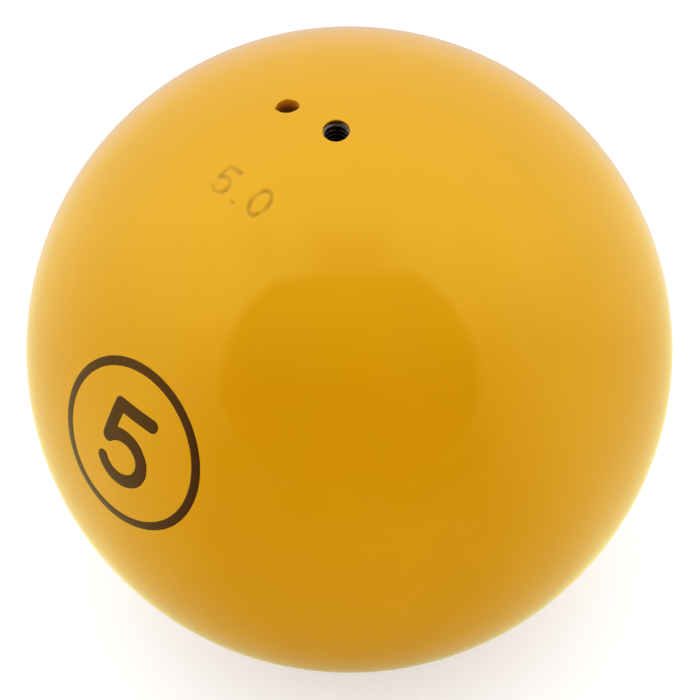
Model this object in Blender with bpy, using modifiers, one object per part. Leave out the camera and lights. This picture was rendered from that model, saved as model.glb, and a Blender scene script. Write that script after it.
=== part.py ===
# A 5 kg shot for track and field: a turned iron ball with a filled core, closed by a
# threaded plug. A tapped bore in the plug holds the trimming pellets and a set screw.
# Units are metres. The origin is the ball's centre, and +Z runs out of the tapped bore.

import math

import bmesh
import bpy
from mathutils import Matrix, Vector

# Ball and core
ball_diameter = 0.110
core_diameter = 0.064
fit_gap = 0.0003

# Core plug: a collar that seats on a shoulder in the ball, and a thread below it
collar_diameter = 0.032
collar_depth = 0.0080
plug_length = 0.025
plug_thread_diameter = 0.030
plug_thread_pitch = 0.0015
plug_thread_depth = 0.00075
plug_thread_gap = 0.00015

# Tapped bore through the plug, on its axis
bore_thread_length = 0.0130
bore_thread_diameter = 0.0045
bore_thread_pitch = 0.001
bore_thread_depth = 0.00045
bore_thread_gap = 0.00008

# V thread form: the angle of a flank, and the width of a tip in pitches
flank_angle = math.radians(30)
tip_share = 0.125

# Blind hole beside the tapped bore, as a second spanner hole
blind_diameter = 0.0040
blind_depth = 0.0060
blind_offset = 0.0101
blind_azimuth = math.radians(138.5)
drill_point_angle = math.radians(118)

# Set screw, a running fit in the bore's thread
screw_depth = 0.0055
screw_length = 0.0050
screw_chamfer = 0.0004
socket_wall = 0.00055
socket_depth = 0.0022
neck_length = 0.0007
nose_length = 0.0005
nose_lip = 0.0003

# Thrust pad, snapped over the screw's nose
pad_clearance = 0.0002
pad_wall = 0.00065
pad_floor = 0.0007
pad_gap = 0.0001

# Trimming pellets, dropped in through the bore
pellet_count = 6
pellet_clearance = 0.00015
pellet_bore_gap = 0.0002

# Printed ring on the ball's side, measured along the ball's surface
roundel_diameter = 0.0296
roundel_line = 0.00155
roundel_thickness = 0.0002
roundel_gap = 0.0002
roundel_azimuth = math.radians(-136.5)
roundel_elevation = math.radians(23.3)

# How finely the round shapes are divided
ball_segments = 64
core_segments = 36
collar_segments = 48
plug_thread_steps = 16
bore_thread_steps = 12
bore_segments = 20
pellet_segments = 12
roundel_segments = 72

# How far a cutter runs past the surface that it cuts, and what counts as one point
overshoot = 0.002
merge_distance = 0.000001

# Places and fits that follow from the sizes above
ball_radius = ball_diameter / 2
core_radius = core_diameter / 2
shoulder_z = ball_radius - collar_depth
plug_bottom_z = ball_radius - plug_length
neck_radius = plug_thread_diameter / 2 - plug_thread_depth
bore_end_z = ball_radius - bore_thread_length
bore_crest_radius = bore_thread_diameter / 2 - bore_thread_depth
screw_top_z = ball_radius - screw_depth
screw_bottom_z = screw_top_z - screw_length
nose_top_z = screw_bottom_z - neck_length
nose_bottom_z = nose_top_z - nose_length
pad_radius = bore_crest_radius - pad_clearance
pad_top_z = screw_bottom_z - pad_gap
pad_bottom_z = nose_bottom_z - pad_gap - pad_floor
pocket_radius = pad_radius - pad_wall
nose_radius = pocket_radius - pad_gap
pellet_radius = bore_crest_radius - pellet_clearance
pellet_step = 2 * pellet_radius + fit_gap
pellet_bore_radius = pellet_radius + pellet_bore_gap
pellet_bore_bottom_z = pad_bottom_z - pellet_count * pellet_step - fit_gap


def clear_scene():
    for old in list(bpy.data.objects):
        bpy.data.objects.remove(old, do_unlink=True)


def new_collection(name):
    made = bpy.data.collections.new(name)
    bpy.context.scene.collection.children.link(made)
    return made


def new_material(name, color, roughness, metallic):
    made = bpy.data.materials.new(name)
    made.use_nodes = True
    shader = made.node_tree.nodes["Principled BSDF"]
    shader.inputs["Base Color"].default_value = (*color, 1.0)
    shader.inputs["Roughness"].default_value = roughness
    shader.inputs["Metallic"].default_value = metallic
    made.diffuse_color = (*color, 1.0)
    return made


def new_object(name, mesh, collection):
    made = bpy.data.objects.new(name, mesh)
    collection.objects.link(made)
    return made


def hide_cutter(cutter):
    cutter.hide_render = True
    cutter.display_type = "WIRE"


def sphere(name, collection, radius, segments):
    mesh = bpy.data.meshes.new(name)
    build = bmesh.new()
    bmesh.ops.create_uvsphere(build, u_segments=segments, v_segments=segments // 2, radius=radius)
    build.to_mesh(mesh)
    build.free()
    return new_object(name, mesh, collection)


def cylinder(name, collection, radius, bottom_z, top_z, segments):
    mesh = bpy.data.meshes.new(name)
    build = bmesh.new()
    middle = Matrix.Translation((0, 0, (bottom_z + top_z) / 2))
    bmesh.ops.create_cone(
        build, cap_ends=True, segments=segments, radius1=radius, radius2=radius,
        depth=top_z - bottom_z, matrix=middle,
    )
    build.to_mesh(mesh)
    build.free()
    return new_object(name, mesh, collection)


def turned(name, collection, profile, steps, is_ring=False):
    # The profile lists (radius, z) from the top, down the outer side, to the foot. It starts and
    # ends on the axis, or on a ring it closes on itself.
    mesh = bpy.data.meshes.new(name)
    points = [(radius, 0, z) for radius, z in profile]
    edges = [(i, i + 1) for i in range(len(points) - 1)]
    if is_ring:
        edges.append((len(points) - 1, 0))
    mesh.from_pydata(points, edges, [])
    made = new_object(name, mesh, collection)
    screw = made.modifiers.new("Turn", "SCREW")
    screw.steps = steps
    screw.render_steps = steps
    screw.use_merge_vertices = True
    screw.merge_threshold = merge_distance
    return made


def threaded_rod(name, collection, diameter, pitch, depth, gap, steps, bottom_z, top_z):
    # A V-threaded rod along Z with flat ends, or the tap that cuts its nut when the gap is 0.
    # Every face of the rod is a gap inside the nut, and the helix passes X at z = 0 on both.
    tip_radius = diameter / 2 - gap
    root_radius = tip_radius - depth
    flank = depth * math.tan(flank_angle)
    half_tip = pitch * tip_share / 2 - gap * (1 / math.cos(flank_angle) - math.tan(flank_angle))
    one_pitch = [
        (root_radius, pitch / 2), (root_radius, half_tip + flank), (tip_radius, half_tip),
        (tip_radius, -half_tip), (root_radius, -half_tip - flank), (root_radius, -pitch / 2),
    ]
    first_turn = math.floor(bottom_z / pitch) - 1
    turns = math.ceil(top_z / pitch) + 1 - first_turn
    curve = turned(name, collection, [(r, z + first_turn * pitch) for r, z in one_pitch], steps)
    screw = curve.modifiers["Turn"]
    screw.screw_offset = pitch
    screw.iterations = turns
    bpy.context.view_layer.update()
    mesh = bpy.data.meshes.new_from_object(curve.evaluated_get(bpy.context.evaluated_depsgraph_get()))
    bpy.data.objects.remove(curve, do_unlink=True)

    build = bmesh.new()
    build.from_mesh(mesh)
    bmesh.ops.remove_doubles(build, verts=build.verts, dist=merge_distance)
    for height, outward in ((bottom_z, -1), (top_z, 1)):
        bmesh.ops.bisect_plane(
            build, geom=[*build.verts, *build.edges, *build.faces], plane_co=(0, 0, height),
            plane_no=(0, 0, outward), clear_outer=True, dist=merge_distance,
        )
    bmesh.ops.holes_fill(build, edges=[edge for edge in build.edges if edge.is_boundary])
    bmesh.ops.recalc_face_normals(build, faces=build.faces)
    build.to_mesh(mesh)
    build.free()
    return new_object(name, mesh, collection)


def plug_thread(name, collection, gap, bottom_z, top_z):
    return threaded_rod(
        name, collection, plug_thread_diameter, plug_thread_pitch, plug_thread_depth, gap,
        plug_thread_steps, bottom_z, top_z,
    )


def bore_thread(name, collection, gap, bottom_z, top_z):
    return threaded_rod(
        name, collection, bore_thread_diameter, bore_thread_pitch, bore_thread_depth, gap,
        bore_thread_steps, bottom_z, top_z,
    )


def add_boolean(target, operation, cutter):
    step = target.modifiers.new(f"{operation.title()} {cutter.name}", "BOOLEAN")
    step.operation = operation
    step.object = cutter
    hide_cutter(cutter)


def finish(part, material, smooth_angle=math.radians(30)):
    # Smoothing is set on the base mesh, and the cuts above it keep it
    part.data.materials.clear()
    part.data.materials.append(material)
    part.data.shade_smooth()
    part.data.set_sharp_from_angle(angle=smooth_angle)


def make_shell(parts, cutters, paint):
    shell = sphere("shell", parts, ball_radius, ball_segments)
    finish(shell, paint)
    core = sphere("core_hollow", cutters, core_radius, core_segments)
    seat = cylinder(
        "collar_seat", cutters, collar_diameter / 2 + fit_gap, shoulder_z, ball_radius + overshoot,
        collar_segments,
    )
    tap = plug_thread("shell_tap", cutters, 0, core_radius / 2, shoulder_z + overshoot)
    for cutter in (core, seat, tap):
        add_boolean(shell, "DIFFERENCE", cutter)


def make_blind_hole(cutters):
    radius = blind_diameter / 2
    top_z = ball_radius + overshoot
    wall_end_z = ball_radius - blind_depth
    point_z = wall_end_z - radius / math.tan(drill_point_angle / 2)
    profile = [(0, top_z), (radius, top_z), (radius, wall_end_z), (0, point_z)]
    drill = turned("blind_hole", cutters, profile, bore_segments)
    drill.location = (blind_offset * math.cos(blind_azimuth), blind_offset * math.sin(blind_azimuth), 0)
    return drill


def make_core_plug(parts, cutters, paint, pellet_bore):
    plug = plug_thread("core_plug", parts, plug_thread_gap, plug_bottom_z, shoulder_z + overshoot)
    finish(plug, paint)
    collar = cylinder(
        "plug_collar", cutters, collar_diameter / 2, shoulder_z + fit_gap, ball_radius + overshoot,
        collar_segments,
    )
    outside = sphere("plug_outside", cutters, ball_radius, ball_segments)
    tap = bore_thread("bore_tap", cutters, 0, bore_end_z, ball_radius + overshoot)
    add_boolean(plug, "UNION", collar)
    add_boolean(plug, "INTERSECT", outside)
    for cutter in (tap, pellet_bore, make_blind_hole(cutters)):
        add_boolean(plug, "DIFFERENCE", cutter)


def make_pellet_bore(cutters):
    # It runs on from the foot of the tapped length, through the plug and into the filling
    return cylinder(
        "pellet_bore", cutters, pellet_bore_radius, pellet_bore_bottom_z, bore_end_z + bore_thread_depth,
        bore_segments,
    )


def make_lead_filling(parts, cutters, material, pellet_bore):
    # The filling rounds out the core and rises up its neck to the foot of the plug
    filling = sphere("lead_filling", parts, core_radius - fit_gap, core_segments)
    finish(filling, material)
    top_z = plug_bottom_z - fit_gap
    neck = cylinder("filling_neck", cutters, neck_radius - fit_gap, 0, top_z + overshoot, collar_segments)
    above = cylinder("filling_top", cutters, core_radius, top_z, ball_radius, collar_segments)
    add_boolean(filling, "UNION", neck)
    add_boolean(filling, "DIFFERENCE", above)
    add_boolean(filling, "DIFFERENCE", pellet_bore)


def make_trim_pellets(parts, material):
    for number in range(pellet_count):
        pellet = sphere(f"trim_pellet_{number + 1}", parts, pellet_radius, pellet_segments)
        finish(pellet, material)
        pellet.location = (0, 0, pad_bottom_z - fit_gap - pellet_radius - number * pellet_step)


def make_thrust_pad(parts, material):
    lip_radius = nose_radius - nose_lip + pad_gap
    floor_z = nose_bottom_z - pad_gap
    ceiling_z = nose_top_z + pad_gap
    profile = [
        (0, floor_z), (pocket_radius, floor_z), (pocket_radius, ceiling_z), (lip_radius, ceiling_z),
        (lip_radius, pad_top_z), (pad_radius, pad_top_z), (pad_radius, pad_bottom_z), (0, pad_bottom_z),
    ]
    pad = turned("thrust_pad", parts, profile, bore_segments)
    finish(pad, material)


def make_set_screw(parts, cutters, material):
    # The turned blank is wider than the thread, which gives the screw its tips, flanks and roots
    blank_radius = bore_thread_diameter / 2
    end_radius = blank_radius - bore_thread_gap - screw_chamfer
    slope = blank_radius - end_radius
    stem_radius = nose_radius - nose_lip
    profile = [
        (0, screw_top_z), (end_radius, screw_top_z), (blank_radius, screw_top_z - slope),
        (blank_radius, screw_bottom_z + slope), (end_radius, screw_bottom_z), (stem_radius, screw_bottom_z),
        (stem_radius, nose_top_z), (nose_radius, nose_top_z), (nose_radius, nose_bottom_z),
        (0, nose_bottom_z),
    ]
    screw = turned("set_screw", parts, profile, bore_segments)
    finish(screw, material)
    thread = bore_thread(
        "screw_thread", cutters, bore_thread_gap, nose_bottom_z - overshoot, screw_top_z + overshoot,
    )
    root_radius = bore_crest_radius - bore_thread_gap
    socket = cylinder(
        "hex_socket", cutters, root_radius - socket_wall, screw_top_z - socket_depth,
        screw_top_z + overshoot, 6,
    )
    add_boolean(screw, "INTERSECT", thread)
    add_boolean(screw, "DIFFERENCE", socket)


def make_roundel(parts, material):
    # A flat-sided band that follows the ball's curve, made round Z and then turned to its place
    inner = ball_radius + roundel_gap
    outer = inner + roundel_thickness
    outer_angle = roundel_diameter / 2 / ball_radius
    inner_angle = outer_angle - roundel_line / ball_radius
    corners = [(outer, inner_angle), (outer, outer_angle), (inner, outer_angle), (inner, inner_angle)]
    profile = [(radius * math.sin(angle), radius * math.cos(angle)) for radius, angle in corners]
    roundel = turned("roundel", parts, profile, roundel_segments, is_ring=True)
    finish(roundel, material)
    facing = Vector((
        math.cos(roundel_elevation) * math.cos(roundel_azimuth),
        math.cos(roundel_elevation) * math.sin(roundel_azimuth),
        math.sin(roundel_elevation),
    ))
    roundel.rotation_euler = facing.to_track_quat("Z", "Y").to_euler()


def main():
    clear_scene()
    parts = new_collection("shot_put")
    cutters = new_collection("shot_put_cutters")
    yellow_paint = new_material("yellow_paint", (0.72, 0.36, 0.02), 0.12, 0.0)
    oiled_steel = new_material("oiled_steel", (0.10, 0.10, 0.11), 0.35, 1.0)
    lead_and_resin = new_material("lead_and_resin", (0.22, 0.23, 0.25), 0.60, 0.3)
    bright_lead = new_material("bright_lead", (0.35, 0.36, 0.38), 0.45, 1.0)
    white_nylon = new_material("white_nylon", (0.80, 0.80, 0.76), 0.40, 0.0)
    black_ink = new_material("black_ink", (0.02, 0.015, 0.012), 0.30, 0.0)

    pellet_bore = make_pellet_bore(cutters)
    make_shell(parts, cutters, yellow_paint)
    make_core_plug(parts, cutters, yellow_paint, pellet_bore)
    make_lead_filling(parts, cutters, lead_and_resin, pellet_bore)
    make_trim_pellets(parts, bright_lead)
    make_thrust_pad(parts, white_nylon)
    make_set_screw(parts, cutters, oiled_steel)
    make_roundel(parts, black_ink)
    bpy.context.view_layer.update()


main()
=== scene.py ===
import math

import bpy
import numpy as np
from mathutils import Matrix, Vector


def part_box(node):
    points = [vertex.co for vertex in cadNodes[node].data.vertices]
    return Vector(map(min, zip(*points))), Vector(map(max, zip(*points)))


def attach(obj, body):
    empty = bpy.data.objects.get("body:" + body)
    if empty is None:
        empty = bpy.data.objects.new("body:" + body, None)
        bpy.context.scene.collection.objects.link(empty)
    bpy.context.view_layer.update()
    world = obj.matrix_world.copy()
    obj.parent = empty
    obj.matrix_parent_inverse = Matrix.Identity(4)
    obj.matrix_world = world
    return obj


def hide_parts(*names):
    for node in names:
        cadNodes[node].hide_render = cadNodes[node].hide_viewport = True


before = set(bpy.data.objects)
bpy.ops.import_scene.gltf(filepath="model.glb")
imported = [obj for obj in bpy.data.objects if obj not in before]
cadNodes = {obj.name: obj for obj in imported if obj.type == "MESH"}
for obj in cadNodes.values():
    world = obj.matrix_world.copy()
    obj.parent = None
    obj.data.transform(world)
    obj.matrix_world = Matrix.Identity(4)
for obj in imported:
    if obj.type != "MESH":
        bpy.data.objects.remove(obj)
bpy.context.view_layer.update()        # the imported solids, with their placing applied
ballRadius = float(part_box("shell")[1][0]) * 1000    # mm, as every length below
print("loaded", len(cadNodes), "solids, ball radius", round(ballRadius, 2), "mm")


# Small tools that every piece shares

mostSteps = 300         # in half a bridge, more than any piece needs
tiny = 1e-9             # mm, stands in for a length of nothing where it divides
sharpAngle = 50         # degrees between two faces, past which their edge stays sharp


def bridge(first, last, firstStep, lastStep, longest, growth):
    # Places from first to last. Steps grow by one factor from each end up to the longest, and are
    # then shrunk a little so that the two halves meet in the middle
    half = (last - first) / 2

    def outward(step):
        # Distances from one end up to the middle, the first of them one step
        steps = np.minimum(longest, step * growth ** np.arange(mostSteps))
        count = int(np.searchsorted(np.cumsum(steps), half)) + 1
        return np.cumsum(steps[:count]) * half / np.sum(steps[:count])

    return np.concatenate([[first], first + outward(firstStep), last - outward(lastStep)[-2::-1], [last]])


def sphereFrame(azimuth, elevation):
    # Outward, east and north unit vectors at a place on the ball, angles in degrees
    turn, rise = math.radians(azimuth), math.radians(elevation)
    outward = np.array([math.cos(rise) * math.cos(turn), math.cos(rise) * math.sin(turn), math.sin(rise)])
    east = np.array([-math.sin(turn), math.cos(turn), 0.0])
    return outward, east, np.cross(outward, east)


def turned(frameAt, degrees):
    # The same frame with east and north turned anticlockwise about outward
    outward, east, north = frameAt
    cosine, sine = math.cos(math.radians(degrees)), math.sin(math.radians(degrees))
    return outward, cosine * east + sine * north, cosine * north - sine * east


def ontoBall(flat, frameAt, height):
    # A flat drawing laid on the ball: a point x, y lies at that arc from the middle, in that
    # direction, and stands height above the ball
    outward, east, north = frameAt
    arc = np.linalg.norm(flat, axis=-1, keepdims=True)
    heading = flat / np.maximum(arc, tiny)
    sideways = heading[..., :1] * east + heading[..., 1:] * north
    angle = arc / ballRadius
    direction = np.cos(angle) * outward + np.sin(angle) * sideways
    return direction * (ballRadius + np.asarray(height)[..., None])


def fromBall(points, frameAt):
    # The reverse of ontoBall: arc and direction from the middle, as x and y
    outward, east, north = frameAt
    unit = points / np.linalg.norm(points, axis=-1, keepdims=True)
    x, y, z = unit @ east, unit @ north, unit @ outward
    across = np.maximum(np.hypot(x, y), tiny)
    arc = np.arctan2(across, z) * ballRadius
    return np.stack([x / across * arc, y / across * arc], axis=-1)


def strokeDistance(flat, strokes):
    # Distance from each x, y to the nearest stroke: to each straight run of it, square to the run
    # or to its nearer end
    nearest = np.full(len(flat), np.inf)
    for stroke in strokes:
        start, along = stroke[:-1], np.diff(stroke, axis=0)
        offset = flat[:, None, :] - start[None]
        share = np.clip(np.sum(offset * along, axis=-1) / np.sum(along ** 2, axis=-1), 0, 1)
        gap = np.linalg.norm(offset - share[..., None] * along, axis=-1)
        nearest = np.minimum(nearest, gap.min(axis=1))
    return nearest


# Shares of half a digit's width or height, from its middle
digitForm = {
    "barEnd": 0.88,
    "stemTop": -0.70,
    "bowlTurn": (145, -148),    # degrees, from the stem's foot to the open end
    "bowlSteps": 30,
    "bowlMiddle": (-0.05, -0.36),
    "bowlHalf": (0.98, 0.62),
    "noughtHalf": 0.94,
    "noughtSteps": 41,
    "dotLength": 0.05,          # mm
}


def digitStrokes(digit, width, height, middle=(0, 0)):
    # Strokes of one digit about its middle: a five is a bar, a stem and a bowl, a nought an oval,
    # and a point a dot on the base line
    form, wide, high = digitForm, width / 2, height / 2
    if digit == "5":
        turn = np.radians(np.linspace(*form["bowlTurn"], form["bowlSteps"]))
        (bowlX, bowlY), (halfX, halfY) = form["bowlMiddle"], form["bowlHalf"]
        bowl = np.stack([halfX * wide * np.cos(turn) + bowlX * wide,
                         halfY * high * np.sin(turn) + bowlY * high], axis=-1)
        corner = [form["stemTop"] * wide, high]
        strokes = [np.array([[form["barEnd"] * wide, high], corner]), np.array([corner, bowl[0]]), bowl]
    elif digit == "0":
        turn = np.radians(np.linspace(0, 360, form["noughtSteps"]))
        strokes = [np.stack([form["noughtHalf"] * wide * np.cos(turn), high * np.sin(turn)], axis=-1)]
    else:
        strokes = [np.array([[0, -high], [form["dotLength"], -high]])]
    return [stroke + np.array(middle) for stroke in strokes]


def eased(share):
    # A step from 0 to 1 with level ends: three times the square, less twice the cube
    share = np.clip(share, 0, 1)
    return share * share * (3 - 2 * share)


def newPiece(name, mesh, material, body):
    # Puts a mesh in the scene with its finish, on its body and in its slot
    piece = bpy.data.objects.new(name, mesh)
    bpy.context.scene.collection.objects.link(piece)
    mesh.materials.append(material)
    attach(piece, body)
    return piece


def gridMesh(name, points, closedRows=False, closedColumns=True, poles=()):
    # Four-sided faces between neighbouring rows and columns of a grid of points in mm. A pole is a
    # point that closes the first or the last row with a fan. Faces are flipped if they point in
    rows, columns = points.shape[:2]
    index = np.arange(rows * columns).reshape(rows, columns)
    if closedRows:
        index = np.vstack([index, index[:1]])
    if closedColumns:
        index = np.hstack([index, index[:, :1]])
    corners = [index[:-1, :-1], index[:-1, 1:], index[1:, 1:], index[1:, :-1]]
    quads = np.stack(corners, axis=-1).reshape(-1, 4)
    vertices = points.reshape(-1, 3)
    fans = []
    for row, pole in poles:
        ring = index[row]
        tip = np.full(len(ring) - 1, len(vertices))
        sides = (ring[1:], ring[:-1]) if row == 0 else (ring[:-1], ring[1:])
        fans.append(np.stack([*sides, tip], axis=-1))
        vertices = np.vstack([vertices, [pole]])
    triangles = np.vstack(fans) if fans else np.zeros((0, 3), dtype=int)
    allTriangles = np.vstack([quads[:, [0, 1, 2]], quads[:, [0, 2, 3]], triangles])
    first, second, third = (vertices[allTriangles[:, corner]] for corner in range(3))
    # Six times the volume inside the faces, negative where they point in
    if np.sum(first * np.cross(second, third)) < 0:
        quads, triangles = quads[:, ::-1], triangles[:, ::-1]
    loops = np.concatenate([quads.reshape(-1), triangles.reshape(-1)])
    starts = np.concatenate([np.arange(len(quads)) * 4, len(quads) * 4 + np.arange(len(triangles)) * 3])
    mesh = bpy.data.meshes.new(name)
    mesh.vertices.add(len(vertices))
    mesh.loops.add(len(loops))
    mesh.polygons.add(len(starts))
    mesh.vertices.foreach_set("co", (vertices / 1000).reshape(-1))
    mesh.loops.foreach_set("vertex_index", loops)
    mesh.polygons.foreach_set("loop_start", starts)
    mesh.update(calc_edges=True)
    mesh.validate()
    return mesh


def smoothed(mesh):
    # Smooth shading, broken at sharp edges
    mesh.shade_smooth()
    mesh.set_sharp_from_angle(angle=math.radians(sharpAngle))


def cutAway(piece, cutter):
    # What is left of the piece outside the cutter, kept as plain mesh
    step = piece.modifiers.new("cut", "BOOLEAN")
    step.operation = "DIFFERENCE"
    step.solver = "EXACT"
    step.object = cutter
    whole = piece.data
    evaluated = piece.evaluated_get(bpy.context.evaluated_depsgraph_get())
    piece.data = bpy.data.meshes.new_from_object(evaluated)
    piece.modifiers.clear()
    bpy.data.meshes.remove(whole)


# Small tools that every finish shares

def linearColour(hexText):
    # sRGB hex to the linear values that a shader takes
    values = [int(hexText[i:i + 2], 16) / 255 for i in (0, 2, 4)]
    return (*[v / 12.92 if v <= 0.04045 else ((v + 0.055) / 1.055) ** 2.4 for v in values], 1.0)


def setInputs(tree, node, inputs):
    # Values and links, by socket. A node stands for its first output, and a text is an sRGB hex colour
    for socket, value in inputs.items():
        if isinstance(value, str):
            value = linearColour(value)
        if isinstance(value, bpy.types.Node):
            value = value.outputs[0]
        if isinstance(value, bpy.types.NodeSocket):
            tree.links.new(value, node.inputs[socket])
        else:
            node.inputs[socket].default_value = value


def addNode(tree, kind, inputs=None, stops=None, **settings):
    # One shader node with its settings, its inputs and a colour ramp's stops, in hex, grey or linear
    node = tree.nodes.new("ShaderNode" + kind)
    for name, value in settings.items():
        setattr(node, name, value)
    setInputs(tree, node, inputs or {})
    if stops:
        ramp = node.color_ramp
        while len(ramp.elements) < len(stops):
            ramp.elements.new(0.5)
        for element, (place, shade) in zip(ramp.elements, stops):
            shade = linearColour(shade) if isinstance(shade, str) else shade
            element.position = place
            element.color = shade if isinstance(shade, tuple) else (shade, shade, shade, 1.0)
    return node


def newFinish(name):
    # A new material, with its node tree, its shader and its Object coordinates
    material = bpy.data.materials.new(name)
    material.use_nodes = True
    tree = material.node_tree
    place = addNode(tree, "TexCoord").outputs["Object"]
    return material, tree, tree.nodes["Principled BSDF"], place


def perMetre(sizeInMm):
    # A noise's scale for a pattern of that size on Object coordinates, which are in metres
    return 1000 / sizeInMm


def mixed(tree, share, first, second, kind="FLOAT"):
    # The first value where the share is 0, the second where it is 1
    inputs = {"Factor": share, "A": first, "B": second}
    return addNode(tree, "Mix", inputs, data_type=kind).outputs["Result"]


# Finishes

enamelLook = {
    "colour": "D49100",         # golden yellow
    "shadedColour": "7C4600",   # painted shade on the coat's edge in holes and in punched strokes
    "shadedFrom": 0.03,         # mm below the ball's surface
    "shadedTo": 0.27,
    "roughness": 0.09,
    "rubbedRoughness": 0.14,    # where hands have dulled it
    "rubSize": 9.0,             # mm, of the rubbed patches
    "peelSize": 1.3,            # mm, ripple of the sprayed coat
    "peelHeight": 0.002,        # mm
    "mottleSize": 14.0,         # mm, slow change of the coat's depth
    "mottle": 0.02,             # share by which that lightens and darkens it
    "dustSpacing": 2.6,         # mm between specks
    "dustReach": 0.06,          # half a speck's width, as a share of that
    "dustHeight": 0.01,         # mm
    "ior": 1.52,
    "specular": 0.80,
    "specularTint": "FFFA95",
}


def makeEnamel():
    # Gloss alkyd enamel sprayed on turned iron: a deep even yellow, mirror-like at the rim, with a
    # faint ripple that softens what it reflects, and specks of dust set in the coat
    look = enamelLook
    material, tree, shader, place = newFinish("sprayedYellowEnamel")
    mottle = addNode(tree, "TexNoise", {
        "Vector": place, "Scale": perMetre(look["mottleSize"]), "Detail": 3.0, "Roughness": 0.55})
    even = linearColour(look["colour"])
    dark, pale = ((*[min(1.0, value * share) for value in even[:3]], 1.0)
                  for share in (1 - look["mottle"], 1 + look["mottle"]))
    body = addNode(tree, "ValToRGB", {"Fac": mottle}, stops=[(0.30, dark), (0.70, pale)])
    # Painted shade: the coat darkens with its depth below the ball's surface, in strokes up to three
    # quarters of the way, in holes fully
    height = addNode(tree, "VectorMath", {0: place}, operation="LENGTH")
    shaded = addNode(tree, "MapRange", {
        "Value": height.outputs["Value"], "From Min": (ballRadius - look["shadedFrom"]) / 1000,
        "From Max": (ballRadius - look["shadedTo"]) / 1000})
    toned = mixed(tree, shaded, body, look["shadedColour"], "RGBA")
    # Dust specks up to 0.3 mm across, about two to the square centimetre, coarser than real
    dust = addNode(tree, "TexVoronoi", {"Vector": place, "Scale": perMetre(look["dustSpacing"])})
    speck = addNode(tree, "ValToRGB", {"Fac": dust}, stops=[(0.0, 1.0), (look["dustReach"], 0.0)])
    rub = addNode(tree, "TexNoise", {
        "Vector": place, "Scale": perMetre(look["rubSize"]), "Detail": 5.0})
    dull = addNode(tree, "MapRange", {
        "Value": rub, "From Min": 0.35, "From Max": 0.75,
        "To Min": look["roughness"], "To Max": look["rubbedRoughness"]})
    peel = addNode(tree, "TexNoise", {
        "Vector": place, "Scale": perMetre(look["peelSize"]), "Detail": 1.5})
    peelBump = addNode(tree, "Bump", {
        "Height": peel, "Strength": 1.0, "Distance": look["peelHeight"] / 1000})
    dustBump = addNode(tree, "Bump", {
        "Height": speck, "Strength": 0.25, "Distance": look["dustHeight"] / 1000, "Normal": peelBump})
    setInputs(tree, shader, {
        "Base Color": toned, "Roughness": dull, "Normal": dustBump, "IOR": look["ior"],
        "Specular IOR Level": look["specular"], "Specular Tint": look["specularTint"]})
    return material


tappedSteelLook = {
    "darkColour": "1D171F",     # bare steel, between dark and pale in patches
    "colour": "3B334B",
    "paleColour": "6B6088",
    "patchSize": 0.8,           # mm
    # Painted light and shade on the thread, by depth below the plug's top in mm: its colour and how well it
    # covers. Dark brown painted shade at the paint's edge, then a first turn painted pale as a highlight,
    # then painted shade further down
    "threadTones": ((0.0, "3C210C", 0.92), (0.27, "3C210C", 0.90), (0.40, "A892A4", 0.36),
                    (0.66, "8E7C90", 0.06), (1.2, "140F12", 0.06), (3.2, "140F12", 0.50)),
    "paintColours": ("FFB226", "F09C1C", "8C5C20"),     # paler than the coat at the mouth as painted light, darker under it and far down as painted shade
    "paintFade": 3.2,           # mm over which they change
    "blindCoat": (0.25, 0.45),  # mm beyond the blind hole's side where its paint ends
    "oversprayDepth": 0.6,      # mm by which noise draws the paint's edge down the thread
    "oversprayEdge": (0.1, 0.3),        # mm over which that edge fades
    "overspray": 0.15,          # how well that paint covers the steel
    "roughness": 0.34,
    "paintRoughness": 0.30,
    "chatterSize": 0.12,        # mm, fine marks of the tap
    "chatterHeight": 0.01,      # mm
}


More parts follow.
